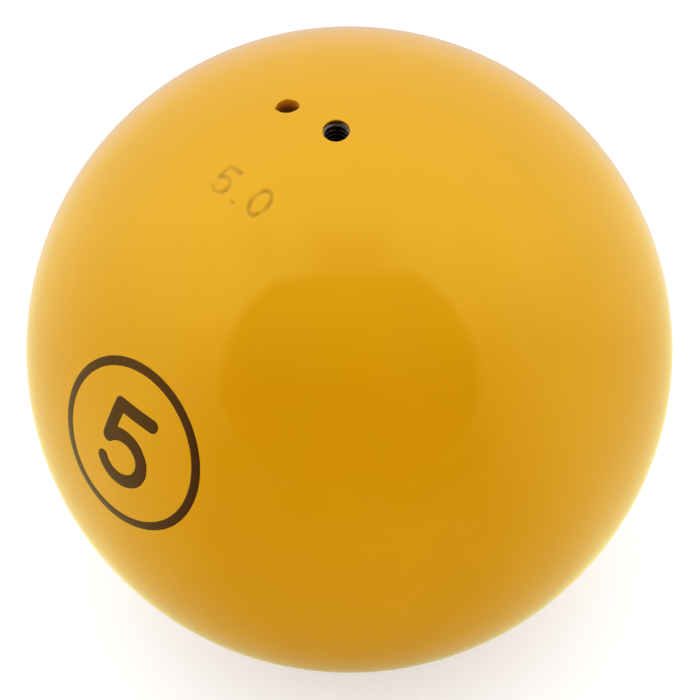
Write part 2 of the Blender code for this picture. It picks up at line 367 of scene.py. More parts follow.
def makeTappedSteel(topHeight, blindPlace, blindRadius):
    # Free-cutting steel, turned and tapped, left bare in the thread: violet grey in patches, painted pale on
    # its first turn as a highlight and dark further down as painted shade, with a breath of paint at the
    # mouth.
    # The blind hole is painted all over, paler than the coat at its mouth as painted light and browner
    # towards its end as painted shade
    look = tappedSteelLook
    material, tree, shader, place = newFinish("tappedCarbonSteel")
    apart = addNode(tree, "SeparateXYZ", {"Vector": place})
    grime = addNode(tree, "TexNoise", {
        "Vector": place, "Scale": perMetre(look["patchSize"]), "Detail": 5.0})
    steel = addNode(tree, "ValToRGB", {"Fac": grime}, stops=[
        (0.35, look["darkColour"]), (0.55, look["colour"]), (0.75, look["paleColour"])])
    # Paint lies on what is near the blind hole's axis, measured across it
    away = addNode(tree, "VectorMath", {
        0: place, 1: (blindPlace[0] / 1000, blindPlace[1] / 1000, 0)}, operation="SUBTRACT")
    flatAway = addNode(tree, "VectorMath", {0: away, 1: (1, 1, 0)}, operation="MULTIPLY")
    farOff = addNode(tree, "VectorMath", {0: flatAway}, operation="LENGTH")
    coatEnd, bareFrom = look["blindCoat"]
    inBlind = addNode(tree, "MapRange", {
        "Value": farOff.outputs["Value"], "From Min": (blindRadius + coatEnd) / 1000,
        "From Max": (blindRadius + bareFrom) / 1000, "To Min": 1.0, "To Max": 0.0})
    fade = look["paintFade"]
    sunk = addNode(tree, "MapRange", {
        "Value": apart.outputs["Z"], "From Min": topHeight / 1000, "From Max": (topHeight - fade) / 1000})
    # Painted shade and highlight down the thread: dark brown at the paint's edge, a pale first turn, darker
    # further down
    tone = addNode(tree, "ValToRGB", {"Fac": sunk}, stops=[
        (depth / fade, (*linearColour(shade)[:3], cover)) for depth, shade, cover in look["threadTones"]])
    steelWithPaintedLight = mixed(tree, tone.outputs["Alpha"], steel, tone, "RGBA")
    # Overspray fades down the first turn, ragged by the noise
    ragged = addNode(tree, "Math", {
        0: grime, 1: look["oversprayDepth"] / 1000}, operation="MULTIPLY")
    height = addNode(tree, "Math", {0: apart.outputs["Z"], 1: ragged}, operation="ADD")
    edgeFrom, edgeTo = look["oversprayEdge"]
    inMouth = addNode(tree, "MapRange", {
        "Value": height, "From Min": (topHeight + edgeFrom) / 1000,
        "From Max": (topHeight + edgeTo) / 1000, "To Min": 0.0, "To Max": look["overspray"]})
    painted = addNode(tree, "Math", {0: inBlind, 1: inMouth}, operation="MAXIMUM")
    # Paint in the holes, paler than the coat at the mouth and darker further down: painted light and shade
    coat = addNode(tree, "ValToRGB", {"Fac": sunk}, stops=list(zip((0.25, 0.55, 1.0), look["paintColours"])))
    colour = mixed(tree, painted, steelWithPaintedLight, coat, "RGBA")
    metal = addNode(tree, "Math", {0: 1.0, 1: painted}, operation="SUBTRACT")
    rough = addNode(tree, "MapRange", {
        "Value": painted, "To Min": look["roughness"], "To Max": look["paintRoughness"]})
    chatter = addNode(tree, "TexNoise", {
        "Vector": place, "Scale": perMetre(look["chatterSize"]), "Detail": 2.0})
    bump = addNode(tree, "Bump", {
        "Height": chatter, "Strength": 0.6, "Distance": look["chatterHeight"] / 1000})
    setInputs(tree, shader, {"Base Color": colour, "Metallic": metal, "Roughness": rough, "Normal": bump})
    return material


# For a finish that passes from one colour to another in patches of noise: the two colours, the reach
# of the noise between them and the patches' size in mm, one roughness or two, and the grain in mm
inkLook = {
    "colours": ("3B1B08", "532D0E"),    # thick, and thin
    "patches": (0.60, 0.85),
    "patchSize": 0.9,
    "patchDetail": 4.0,
    "roughness": 0.16,
    "grainSize": 0.3,
    "grainDetail": 2.0,
    "grainStrength": 0.4,
    "grainHeight": 0.008,
    "shader": {"Specular IOR Level": 0.46, "Specular Tint": "FFCB83"},
}

pelletLook = {
    "colours": ("5F6265", "9A9DA1"),    # dull, and rubbed bright
    "patches": (0.35, 0.70),
    "patchSize": 0.7,
    "patchDetail": 4.0,
    "roughness": (0.60, 0.32),
    "grainSize": 0.7,           # dents as large as the rubbed patches
    "grainDetail": 4.0,
    "grainStrength": 0.6,
    "grainHeight": 0.04,
    "shader": {"Metallic": 1.0},
}

screwLook = {
    "colours": ("25232A", "615D68"),    # blacked, and worn
    "patches": (0.45, 0.72),
    "patchSize": 0.6,
    "patchDetail": 5.0,
    "roughness": (0.46, 0.28),
    "grainSize": 0.1,
    "grainDetail": 2.0,
    "grainStrength": 0.4,
    "grainHeight": 0.006,
    "shader": {"Metallic": 1.0},
}


def makePatchedFinish(name, look):
    # Colour, and roughness if it has two, follow one noise. The relief follows a second, finer one
    material, tree, shader, place = newFinish(name)
    patches = addNode(tree, "TexNoise", {
        "Vector": place, "Scale": perMetre(look["patchSize"]), "Detail": look["patchDetail"]})
    colour = addNode(tree, "ValToRGB", {"Fac": patches}, stops=list(zip(look["patches"], look["colours"])))
    rough = look["roughness"]
    if isinstance(rough, tuple):
        rough = addNode(tree, "MapRange", {
            "Value": patches, "To Min": rough[0], "To Max": rough[1]})
    grain = addNode(tree, "TexNoise", {
        "Vector": place, "Scale": perMetre(look["grainSize"]), "Detail": look["grainDetail"]})
    bump = addNode(tree, "Bump", {
        "Height": grain, "Strength": look["grainStrength"], "Distance": look["grainHeight"] / 1000})
    setInputs(tree, shader, {"Base Color": colour, "Roughness": rough, "Normal": bump, **look["shader"]})
    return material


fillingLook = {
    "grainSize": 2.0,           # mm across a grain of shot
    "grainColour": "7B7E80",
    "edgeColour": "5A5C5E",
    "resinColour": "2B2A28",
    "darkest": 0.75,            # share of light on the darkest grain
    "lightest": 1.15,
    "relief": 0.4,              # mm
    "metal": 0.4,
    "roughness": 0.42,
}


def makeLeadAndResin():
    # Lead shot set in casting resin: round grey grains, each a little different, in a darker ground
    look = fillingLook
    material, tree, shader, place = newFinish("leadShotInResin")
    grains = addNode(tree, "TexVoronoi", {"Vector": place, "Scale": perMetre(look["grainSize"])})
    shade = addNode(tree, "ValToRGB", {"Fac": grains}, stops=[
        (0.30, look["grainColour"]), (0.52, look["edgeColour"]), (0.60, look["resinColour"])])
    own = addNode(tree, "SeparateColor", {"Color": grains.outputs["Color"]})
    light = addNode(tree, "MapRange", {
        "Value": own.outputs["Red"], "To Min": look["darkest"], "To Max": look["lightest"]})
    toned = addNode(tree, "VectorMath", {0: shade, "Scale": light}, operation="SCALE")
    bump = addNode(tree, "Bump", {
        "Height": grains, "Strength": 1.0, "Distance": look["relief"] / 1000}, invert=True)
    setInputs(tree, shader, {
        "Base Color": toned, "Normal": bump, "Metallic": look["metal"], "Roughness": look["roughness"]})
    return material


nylonLook = {
    "colour": "DAD7C8",
    "paleColour": "E9E7DC",
    "cloudSize": 1.5,           # mm, of the paler clouds
    "ringSpacing": 0.942478,    # mm, coarser than a lathe cuts, so that the rings show
    "ringHeight": 0.01,         # mm
    "roughness": 0.38,
    "scatter": 0.15,
    "scatterDepth": 0.6,        # mm that light goes in
}


def makeNylon():
    # Natural nylon turned from rod: waxy off-white with lathe rings about its axis
    look = nylonLook
    material, tree, shader, place = newFinish("naturalNylon")
    # At scale 1 a wave is 2 pi / 20 long
    ringScale = perMetre(look["ringSpacing"]) * 2 * math.pi / 20
    rings = addNode(tree, "TexWave", {
        "Vector": place, "Scale": ringScale, "Distortion": 0.4, "Detail": 1.0},
        wave_type="RINGS", rings_direction="Z")
    cloud = addNode(tree, "TexNoise", {
        "Vector": place, "Scale": perMetre(look["cloudSize"]), "Detail": 2.0})
    colour = addNode(tree, "ValToRGB", {"Fac": cloud}, stops=[
        (0.3, look["colour"]), (0.7, look["paleColour"])])
    bump = addNode(tree, "Bump", {
        "Height": rings.outputs["Fac"], "Strength": 0.3, "Distance": look["ringHeight"] / 1000})
    setInputs(tree, shader, {
        "Base Color": colour, "Normal": bump, "Roughness": look["roughness"],
        "Subsurface Weight": look["scatter"], "Subsurface Scale": look["scatterDepth"] / 1000})
    return material


# The painted ball

ballShape = {
    "skin": 0.24,               # how deep the coat and filler lie over the plug
    "mouthRadius": 2.12,        # painted mouth of the tapped hole
    "mouthTall": 1.08,          # it is a little oval, longer along Y
    "ovalTo": 5.0,              # radius from which the rings about it are round
    "ovalFade": 2.5,
    "lipRadius": 0.19,
    "seatRadius": 16.3,         # recess for the plug's collar
    "seatHeight": 47.0,
    "neckRadius": 15.0,
    "coreRadius": 32.0,
    "lipStep": 0.10,            # lengths of a face: at the lip,
    "nearStep": 0.45,           # between the lip and the digits
    "coarseStep": 2.6,          # and far from both
    "growth": 1.15,             # from one face to the next
    "rows": {"lip": 9, "underside": 18, "seat": 6, "shoulder": 3, "neck": 10, "core": 30},
}

punchedMark = {
    "middle": (-149.4, 71.2),   # azimuth and elevation, degrees
    "turn": 13.0,               # of its base line, from local east
    "spread": 7.9,              # between the two digits
    "digitWidth": 3.1,
    "digitHeight": 4.7,
    "strokeWidth": 0.66,
    "edge": 0.90,               # how far the paint rounds each edge of a stroke
    "depth": 0.21,
    "raised": 0.008,            # burr that the punch threw up beside a stroke
    "burrPlace": 0.75,          # how far out it lies, as a share of the edge
    "burrWidth": 0.22,
    "uneven": 0.22,             # how much of the depth comes and goes
    "unevenWaves": (1.1, 1.7, 0.6),     # radians for each mm along the base line and up, and a shift
    "arcs": (13.6, 24.2),       # finely divided zone: arc from the bore's axis
    "azimuths": (184.0, 240.0),
    "fineStep": 0.12,
}


def punchDepth(points):
    # How deep the punched digits lie at points of the ball: full depth along a stroke's middle,
    # easing out over its rounded edge, with a low burr beside it
    mark = punchedMark
    spread, sides = mark["spread"] / 2, (mark["digitWidth"], mark["digitHeight"])
    strokes = digitStrokes("5", *sides, (-spread, 0)) + digitStrokes("0", *sides, (spread, 0))
    strokes += digitStrokes(".", *sides)
    flat = fromBall(points, turned(sphereFrame(*mark["middle"]), mark["turn"]))
    outside = strokeDistance(flat, strokes) - mark["strokeWidth"] / 2
    hollow = eased(0.5 - outside / mark["edge"]) * mark["depth"]
    burr = np.exp(-((outside - mark["burrPlace"] * mark["edge"]) / mark["burrWidth"]) ** 2)
    # Each digit was struck harder on one side than on the other
    alongX, alongY, shift = mark["unevenWaves"]
    strength = 1 - mark["uneven"] * (1 - np.sin(flat[:, 0] * alongX + flat[:, 1] * alongY + shift))
    return hollow * strength - burr * mark["raised"]


def makePaintedBall(enamel):
    # A profile turned about Z: outside from the south pole to the mouth, over the lip, out under
    # the coat, down the plug's seat and neck, and round the core hollow to its own south pole
    shape, rows, mark = ballShape, ballShape["rows"], punchedMark
    lipMiddle = shape["mouthRadius"] + shape["lipRadius"]
    lipHeight = math.sqrt((ballRadius - shape["lipRadius"]) ** 2 - lipMiddle ** 2)
    lipTurn = math.atan2(lipMiddle, lipHeight)
    arcFrom, arcTo = mark["arcs"]
    fine, coarse, growth = mark["fineStep"], shape["coarseStep"], shape["growth"]
    arcs = np.concatenate([
        bridge(lipTurn * ballRadius, arcFrom, shape["lipStep"], fine, shape["nearStep"], growth)[:-1],
        np.arange(arcFrom, arcTo, fine),
        bridge(arcTo, math.pi * ballRadius, fine, coarse, coarse, growth)[:-1],
    ])
    west, east = mark["azimuths"]
    fineTurn = math.degrees(fine / (ballRadius * math.sin((arcFrom + arcTo) / 2 / ballRadius)))
    azimuths = np.radians(np.concatenate([
        np.arange(west, east, fineTurn),
        bridge(east, west + 360, fineTurn, fineTurn, math.degrees(coarse / ballRadius), growth)[:-1],
    ]))
    angles = arcs[::-1] / ballRadius
    outside = np.stack([np.sin(angles), np.cos(angles)], axis=-1) * ballRadius
    over = np.linspace(-lipTurn, math.pi / 2, rows["lip"])[1:]
    lip = np.stack([lipMiddle - shape["lipRadius"] * np.sin(over),
                    lipHeight + shape["lipRadius"] * np.cos(over)], axis=-1)
    under = ballRadius - shape["skin"]
    reach = np.linspace(shape["mouthRadius"], shape["seatRadius"], rows["underside"])
    underside = np.stack([reach, np.sqrt(under ** 2 - reach ** 2)], axis=-1)
    seatFoot, neckTop = ((shape[radius], shape["seatHeight"]) for radius in ("seatRadius", "neckRadius"))
    neckFoot = (shape["neckRadius"], math.sqrt(shape["coreRadius"] ** 2 - shape["neckRadius"] ** 2))
    polar = np.linspace(math.asin(shape["neckRadius"] / shape["coreRadius"]), math.pi, rows["core"])[1:-1]
    core = np.stack([np.sin(polar), np.cos(polar)], axis=-1) * shape["coreRadius"]
    profile = np.concatenate([
        outside, lip, underside, np.linspace(underside[-1], seatFoot, rows["seat"])[1:],
        np.linspace(seatFoot, neckTop, rows["shoulder"])[1:],
        np.linspace(neckTop, neckFoot, rows["neck"])[1:], core])
    x = profile[:, :1] * np.cos(azimuths)
    y = profile[:, :1] * np.sin(azimuths)
    z = np.repeat(profile[:, 1:], len(azimuths), axis=1)
    # Near the mouth the rings are drawn out along Y, and the outside is kept on the ball
    y *= 1 + (shape["mouthTall"] - 1) * eased((shape["ovalTo"] - profile[:, :1]) / shape["ovalFade"])
    upper = slice(len(outside) // 2, len(outside))
    z[upper] = np.sqrt(ballRadius ** 2 - x[upper] ** 2 - y[upper] ** 2)
    points = np.stack([x, y, z], axis=-1)
    # The digits press the coat in along the ball's own radius
    coat = points[:len(outside)].reshape(-1, 3)
    arc = np.arctan2(np.hypot(coat[:, 0], coat[:, 1]), coat[:, 2]) * ballRadius
    near = np.abs(arc - (arcFrom + arcTo) / 2) < (arcTo - arcFrom)
    depth = np.zeros(len(coat))
    depth[near] = punchDepth(coat[near])
    coat *= (1 - depth / ballRadius)[:, None]
    points[:len(outside)] = coat.reshape(len(outside), -1, 3)
    poles = ((0, (0, 0, -ballRadius)), (-1, (0, 0, -shape["coreRadius"])))
    mesh = gridMesh("paintedBall", points, poles=poles)
    return newPiece("paintedBall", mesh, enamel, "ball")


# The blind spanner hole

blindHole = {
    "offset": 10.1,             # from the tapped bore's axis
    "azimuth": 138.5,           # degrees
    "radius": 1.92,
    "sideRing": 3.6,            # depth of one more ring of its plain side
    "depth": 6.0,               # to where the drill's cone starts
    "coneShare": 0.6,           # the cone's height, as a share of the radius
    # The mouth's corners as (towards east, towards the bore), where filler and paint ran in
    "mouth": ((1.33, -1.50), (1.51, 0.13), (1.03, 1.21), (0.09, 1.80), (-0.63, 1.90), (-1.14, 1.68),
              (-1.74, 0.64), (-1.41, -1.21), (-0.11, -1.81)),
    "rounding": 8,              # passes that round those corners
    # Rings as (depth below the ball's surface, how far outside the outline): over the ball, where
    # it only has to be clear of the coat, then the flare at the mouth, and the hole's side
    "rings": ((-0.9, 0.62), (-0.25, 0.26), (0.0, 0.12), (0.05, 0.066), (0.13, 0.024), (0.25, 0.0),
              (0.5, 0.0), (0.8, 0.0), (1.1, 0.0)),
    "roundOver": (0.3, 1.1),    # depths over which the ragged mouth becomes the round hole
    "topOver": 0.4,             # how far the cutter stands over the top of the ball
    "columns": 88,
}


def blindMiddle():
    # Where the hole's axis crosses the plane of X and Y
    turn = math.radians(blindHole["azimuth"])
    return blindHole["offset"] * math.cos(turn), blindHole["offset"] * math.sin(turn)


def makeBlindCutter():
    # Rings down the hole: a ragged outline that flares where it meets the coat, changes to a circle
    # by a set depth, and ends in a drill's cone
    hole = blindHole
    # Seen from straight above, local north points to the bore
    east, towardsBore = sphereFrame(hole["azimuth"], 90.0)[1:]
    corners = np.array([*hole["mouth"], hole["mouth"][0]])
    along = np.concatenate([[0], np.cumsum(np.linalg.norm(np.diff(corners, axis=0), axis=1))])
    places = np.linspace(0, along[-1], hole["columns"], endpoint=False)
    ragged = np.stack([np.interp(places, along, corners[:, axis]) for axis in (0, 1)], axis=-1)
    for _ in range(hole["rounding"]):
        ragged = (np.roll(ragged, 1, axis=0) + 2 * ragged + np.roll(ragged, -1, axis=0)) / 4
    reach = np.linalg.norm(ragged, axis=1, keepdims=True)
    heading = ragged / reach
    middle = np.array([*blindMiddle(), 0.0])
    raggedTo, roundBy = hole["roundOver"]
    rings = []
    for depth, grown in hole["rings"]:
        change = eased((depth - raggedTo) / (roundBy - raggedTo))
        flat = heading * (reach * (1 - change) + hole["radius"] * change + grown)
        ring = middle + flat[:, :1] * east + flat[:, 1:] * towardsBore
        ring[:, 2] = np.sqrt(ballRadius ** 2 - ring[:, 0] ** 2 - ring[:, 1] ** 2) - depth
        rings.append(ring)
    for depth in (hole["sideRing"], hole["depth"]):
        ring = rings[-1].copy()
        ring[:, 2] = ballRadius - depth
        rings.append(ring)
    top = middle + np.array([0, 0, ballRadius + hole["topOver"]])
    point = middle + np.array([0, 0, ballRadius - hole["depth"] - hole["radius"] * hole["coneShare"]])
    mesh = gridMesh("blindCutter", np.array(rings), poles=((0, top), (-1, point)))
    cutter = bpy.data.objects.new("blindCutter", mesh)
    bpy.context.scene.collection.objects.link(cutter)
    return cutter


# The tapped core plug

plugShape = {
    "topGap": 0.03,             # between the coat and the plug's top
    "collarRadius": 16.0,
    "collarEdge": 0.3,          # chamfer
    "collarFoot": 47.3,
    "foot": 30.0,
    "outerRadius": 14.85,
    "outerPitch": 1.5,
    "outerDepth": 0.75,
    "boreRadius": 2.25,         # at the thread's root
    "borePitch": 1.0,
    "boreDepth": 0.45,
    "boreEnd": 42.0,
    "boreClear": (0.05, 0.04),  # from that end and from the mouth, plain before the thread
    "pelletRadius": 1.85,
    "mouthChamfer": 0.10,
    "mouthReach": 0.3,          # how far outside the root the chamfer may go
    "columns": 104,
    "rows": {"crown": 16, "collar": 6, "foot": 12, "pellets": 12},
    "outerRows": 10,            # to a turn of thread
    "boreRows": 14,
    "collarTop": 1.0,           # below the rim, where the collar's even rows start
}


def threadForm(height, turn, pitch, depth):
    # Share of the thread's depth at a height and a turn: 1 along the helix that passes X at height
    # 0, flat over an eighth of the pitch, then down a 60 degree V to 0
    phase = height / pitch - turn / (2 * math.pi)
    away = np.abs(phase - np.round(phase)) * pitch
    flank = depth * math.tan(math.radians(30))
    return eased((pitch / 16 + flank - away) / flank)


def makeTappedPlug(steel):
    # One closed profile turned about Z: out over the top, down the collar and the outer thread, in
    # along the foot, and up the bore and its thread. The threads bend the profile by height and turn
    shape, rows = plugShape, plugShape["rows"]
    collarRadius, boreRadius = shape["collarRadius"], shape["boreRadius"]
    top = ballRadius - ballShape["skin"] - shape["topGap"]
    turn = np.linspace(0, 2 * math.pi, shape["columns"], endpoint=False)
    reach = np.linspace(
        boreRadius + shape["mouthChamfer"], collarRadius - shape["collarEdge"], rows["crown"])
    crown = np.stack([reach, np.sqrt(top ** 2 - reach ** 2)], axis=-1)
    rim = math.sqrt(top ** 2 - collarRadius ** 2)
    collar = np.vstack([(collarRadius, rim - shape["collarEdge"]), np.linspace(
        (collarRadius, rim - shape["collarTop"]), (collarRadius, shape["collarFoot"]), rows["collar"])])
    outerDown = np.arange(shape["collarFoot"], shape["foot"], -shape["outerPitch"] / shape["outerRows"])
    outer = np.stack([np.full(len(outerDown), shape["outerRadius"]), outerDown], axis=-1)
    footOut = (shape["outerRadius"] - shape["outerDepth"], shape["foot"])
    footIn, plainTop = ((shape["pelletRadius"], shape[height]) for height in ("foot", "boreEnd"))
    foot = np.linspace(footOut, footIn, rows["foot"])
    plain = np.linspace(footIn, plainTop, rows["pellets"])[1:]
    mouth = math.sqrt(top ** 2 - reach[0] ** 2)
    boreTurns = (mouth - shape["boreEnd"]) / shape["borePitch"]
    overEnd, underMouth = shape["boreClear"]
    boreUp = np.linspace(shape["boreEnd"] + overEnd, mouth - underMouth, int(boreTurns * shape["boreRows"]))
    bore = np.stack([np.full(len(boreUp), boreRadius - shape["boreDepth"]), boreUp], axis=-1)
    profile = np.concatenate([crown, collar, outer, foot, plain, bore])
    radius = np.repeat(profile[:, :1], len(turn), axis=1)
    height = np.repeat(profile[:, 1:], len(turn), axis=1)
    onOuter = slice(len(crown) + len(collar), len(crown) + len(collar) + len(outer))
    onBore = slice(len(profile) - len(bore), len(profile))
    groove = 1 - threadForm(height[onOuter], turn, shape["outerPitch"], shape["outerDepth"])
    radius[onOuter] -= shape["outerDepth"] * groove
    cut = shape["boreDepth"] * threadForm(height[onBore], turn, shape["borePitch"], shape["boreDepth"])
    chamfer = boreRadius + shape["mouthChamfer"] - (mouth - height[onBore])
    radius[onBore] = np.maximum(radius[onBore] + cut, np.minimum(chamfer, boreRadius + shape["mouthReach"]))
    points = np.stack([radius * np.cos(turn), radius * np.sin(turn), height], axis=-1)
    mesh = gridMesh("tappedPlug", points, closedRows=True)
    return newPiece("tappedPlug", mesh, steel, "ball")


# The printed ring and numeral

roundel = {
    "place": (-136.5, 23.3),    # azimuth and elevation, degrees
    "outer": 14.8,              # arc from the middle to the ring's outer edge
    "line": 1.56,
    "height": 0.03,             # of the ink over the coat, drawn thicker than real to stay clear
    "edgeHeight": 0.009,        # at the ring's two edges
    "sunk": 0.08,               # how far its sides run on into the coat
    # How its edges waver, as (size, waves round the ring, shift in radians)
    "waver": ((0.006, 7, 0.0), (0.006, 17, 1.0), (0.004, 31, 2.0)),
    "waverShift": 40,           # columns by which the inner edge's waver lies further on
    "columns": 220,
    "rows": 7,
    "numeralWidth": 9.0,
    "numeralHeight": 13.0,
    "numeralLine": 2.3,
    "numeralSlope": 0.35,       # how fast its film rises over the coat and dips under it
    "numeralMargin": 0.30,      # how far outside its outline the film is kept
    "film": 0.05,               # thickness
    "fineStep": 0.16,
}


def makeRoundelRing(ink):
    # A closed section carried round the roundel's middle: across the top of the line and back
    # underneath, both on the ball's own curve. The pad's edge wavers by a hundredth or so
    shape = roundel
    turn = np.linspace(0, 2 * math.pi, shape["columns"], endpoint=False)
    waver = sum(size * np.sin(waves * turn + shift) for size, waves, shift in shape["waver"])
    outer = shape["outer"] + waver
    inner = shape["outer"] - shape["line"] + np.roll(waver, shape["waverShift"])
    share = np.linspace(0, 1, shape["rows"])[:, None]
    over = outer * (1 - share) + inner * share
    reach = np.concatenate([over, over[::-1]])
    height = np.concatenate([np.full(over.shape, shape["height"]), np.full(over.shape, -shape["sunk"])])
    height[[0, shape["rows"] - 1]] = shape["edgeHeight"]
    flat = np.stack([reach * np.cos(turn), reach * np.sin(turn)], axis=-1)
    points = ontoBall(flat, sphereFrame(*shape["place"]), height)
    mesh = gridMesh("roundelRing", points, closedRows=True)
    return newPiece("roundelRing", mesh, ink, "ball")


def makeRoundelNumeral(ink):
    # A patch of film that stands over the coat inside the numeral's outline and dips under it
    # outside, by the distance from the drawn strokes; what lies well under is left out
    shape, step = roundel, roundel["fineStep"]
    sides = (shape["numeralWidth"], shape["numeralHeight"])
    halfWide, halfHigh = (side / 2 + shape["numeralLine"] for side in sides)
    flat = np.stack(np.meshgrid(np.arange(-halfWide, halfWide, step), np.arange(-halfHigh, halfHigh, step)),
                    axis=-1)
    away = strokeDistance(flat.reshape(-1, 2), digitStrokes("5", *sides)).reshape(flat.shape[:2])
    inside = shape["numeralLine"] / 2 - away
    height = np.clip(inside * shape["numeralSlope"], -shape["sunk"], shape["height"])
    facing = sphereFrame(*shape["place"])
    mesh = gridMesh("roundelNumeral", ontoBall(flat, facing, height), closedColumns=False)
    kept = inside > -shape["numeralMargin"]
    corners = np.zeros(len(mesh.polygons) * 4, dtype=int)
    mesh.loops.foreach_get("vertex_index", corners)
    wholly = kept.reshape(-1)[corners].reshape(-1, 4).all(axis=1)
    used, renumbered = np.unique(corners.reshape(-1, 4)[wholly], return_inverse=True)
    places = np.zeros(len(mesh.vertices) * 3)
    mesh.vertices.foreach_get("co", places)
    trimmed = bpy.data.meshes.new("roundelNumeral")
    trimmed.from_pydata(places.reshape(-1, 3)[used].tolist(), [], renumbered.reshape(-1, 4).tolist())
    bpy.data.meshes.remove(mesh)
    trimmed.update()
    if np.dot(np.array(trimmed.polygons[0].normal), facing[0]) < 0:
        trimmed.flip_normals()
    piece = newPiece("roundelNumeral", trimmed, ink, "ball")
    wall = piece.modifiers.new("thickness", "SOLIDIFY")
    wall.thickness = shape["film"] / 1000
    wall.offset = -1
    trimmed.shade_smooth()
    return piece


# Making the pieces

enamel = makeEnamel()
# Pad-printing ink, two-part and pressed on by a rubber pad: brown-black, browner where it lies
# thin, with a fine grain and less gloss than the coat under it
ink = makePatchedFinish("padPrintedInk", inkLook)
steel = makeTappedSteel(ballRadius - ballShape["skin"], blindMiddle(), blindHole["radius"])

paintedBall = makePaintedBall(enamel)
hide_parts("shell")
tappedPlug = makeTappedPlug(steel)
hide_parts("core_plug")
cutter = makeBlindCutter()
for piece in (paintedBall, tappedPlug):
    cutAway(piece, cutter)
    smoothed(piece.data)
bpy.data.objects.remove(cutter, do_unlink=True)
print("painted ball", len(paintedBall.data.polygons), "faces, tapped plug", len(tappedPlug.data.polygons))

roundelRing = makeRoundelRing(ink)
smoothed(roundelRing.data)
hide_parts("roundel")
roundelNumeral = makeRoundelNumeral(ink)
print("printed ring and numeral", len(roundelRing.data.polygons), len(roundelNumeral.data.polygons))

solidFinishes = {
    "lead_filling": makeLeadAndResin(),
    "thrust_pad": makeNylon(),
    # Alloy steel blacked in hot salts and oiled: near black with a soft sheen, worn grey in patches
    "set_screw": makePatchedFinish("oilBlackedSteel", screwLook),
}
# Dropped lead shot: soft dull blue-grey, dented, with brighter rubbed patches
softLead = makePatchedFinish("droppedLeadShot", pelletLook)
for nodeName, node in cadNodes.items():
    finish = softLead if nodeName.startswith("trim_pellet") else solidFinishes.get(nodeName)
    if finish:
        node.data.materials.clear()
        node.data.materials.append(finish)
print("finished the inner solids")


# Camera, floor and light

cameraView = {
    "right": (0.9987, -0.0469, -0.038),
    "back": (0.0, -0.6292, 0.777),
    "distance": 0.55,           # metres
    "lens": 165.5,              # mm
    "sensor": 36,               # mm
    "clip": (0.01, 50),         # metres
    "slide": (0.0001, -0.0001), # metres to the right and up, so that the ball sits as photographed
}


def makeCamera():
    # Looks down at the bore's side of the ball, rolled a few degrees
    view = cameraView
    back = Vector(view["back"]).normalized()
    right = Vector(view["right"])
    right = (right - back * right.dot(back)).normalized()
    up = back.cross(right)
    data = bpy.data.cameras.new("photoCamera")
    data.lens, data.sensor_width = view["lens"], view["sensor"]
    data.clip_start, data.clip_end = view["clip"]
    camera = bpy.data.objects.new("photoCamera", data)
    bpy.context.scene.collection.objects.link(camera)
    camera.matrix_world = Matrix((right, up, back)).transposed().to_4x4()
    camera.location = back * view["distance"] + right * view["slide"][0] + up * view["slide"][1]
    bpy.context.scene.camera = camera
    return right, up, back


# What the gloss mirrors is laid out by where it shows on the photographed side of the ball. Places
# there are shares of the ball's radius, to the right and up from its middle
tent = {
    "skyLight": 1.12,           # plain soft light, straight from above
    "sideLight": 0.93,          # and from just under the horizon
    "sideHeight": -0.2,         # height of a direction at which the first starts
    "backLight": 1.50,          # its share from straight behind the ball
    "frontLight": 0.91,         # and from the camera's side
    "panelWarmth": "FFFDBA",    # colours of what the gloss mirrors: the panels
    "openingWarmth": "FFF77C",  # the dark opening
    "behindWarmth": "FFF2FA",   # and what stands behind the ball
    "warmFade": (-0.92, -0.62),
    "highPanel": 2.45,          # brightness of the mirrored panels: high up
    "midPanel": 1.15,           # level with the middle
    "highReach": (0.0, 0.38),   # heights between which one becomes the other
    "gapShade": 0.72,           # of the gap between the two upper panels
    "gapReach": (0.08, 0.17),
    "gapTop": (0.30, 0.42),     # heights over which it closes, up
    "gapFoot": (0.0, -0.1),     # and down, behind the opening
    "seamSlope": 0.086,         # the dark seam beside that gap: how it leans, where and how wide
    "seamPlace": -0.234,
    "seamHalf": 0.0035,
    "seamReach": (0.31, 0.11),  # height of its middle, and half its length
    "seamFade": 0.05,
    "seamShade": 0.72,
    "leftGlow": 1.22,           # of the panel beside the opening's left
    "leftMiddle": (-0.42, 0.02),
    "leftReach": (0.08, 0.34),
    "lowShade": 0.28,           # of the panels near the opening's foot
    "lowMiddle": (0.0, -0.35),
    "lowReach": (0.38, 0.66),
    "lowFade": (-0.1, 0.15),    # heights over which that shade ends
    "sillShade": 0.50,          # of the strip under the opening, out to a round edge
    "sillMiddle": (-0.007, 0.106),
    "sillRadius": 0.593,
    "sillEdge": 0.012,
    "sillFade": (-0.33, -0.25),
    "backFade": (-0.75, 0.30),  # how far behind the ball the high panels fade to the middle's level
    "rimShade": 0.50,           # of what stands straight behind the ball
    "rimReach": (-0.95, -0.70),
    "openingTop": 1.20,         # brightness in the dark opening, at its top
    "openingFoot": 0.04,        # and from its middle down
    "openingFade": (-0.13, 0.25),
    "openingMiddle": (0.002, -0.110),
    "openingHalf": (0.385, 0.385, 0.296),   # half its width, its height above and below that middle
    "openingLintel": ((-0.064, 0.998), 0.222),      # its straight top: the way it faces, and how far up
    "openingEdge": 0.011,
    "openingWaist": 0.01,       # half the height over which its lower half passes into its upper
}

floorLook = {
    "bounce": 0.90,             # how pale the board is to the light that it passes on to the ball
    "colour": "EEF8FF",         # as the camera sees it, cool against the ball's warm bounce
    "glow": 0.30,               # keeps the board plain white to the camera beyond the ball's shadow
    "glowColour": "F6FAFF",
    "roughness": 0.9,
    "half": 3.0,                # metres from its middle to each edge
    "gap": 0.02,                # mm under the ball
    "contactShade": (-0.02, 0.02),      # metres from the ball's foot over which its mirrored shadow ends
}


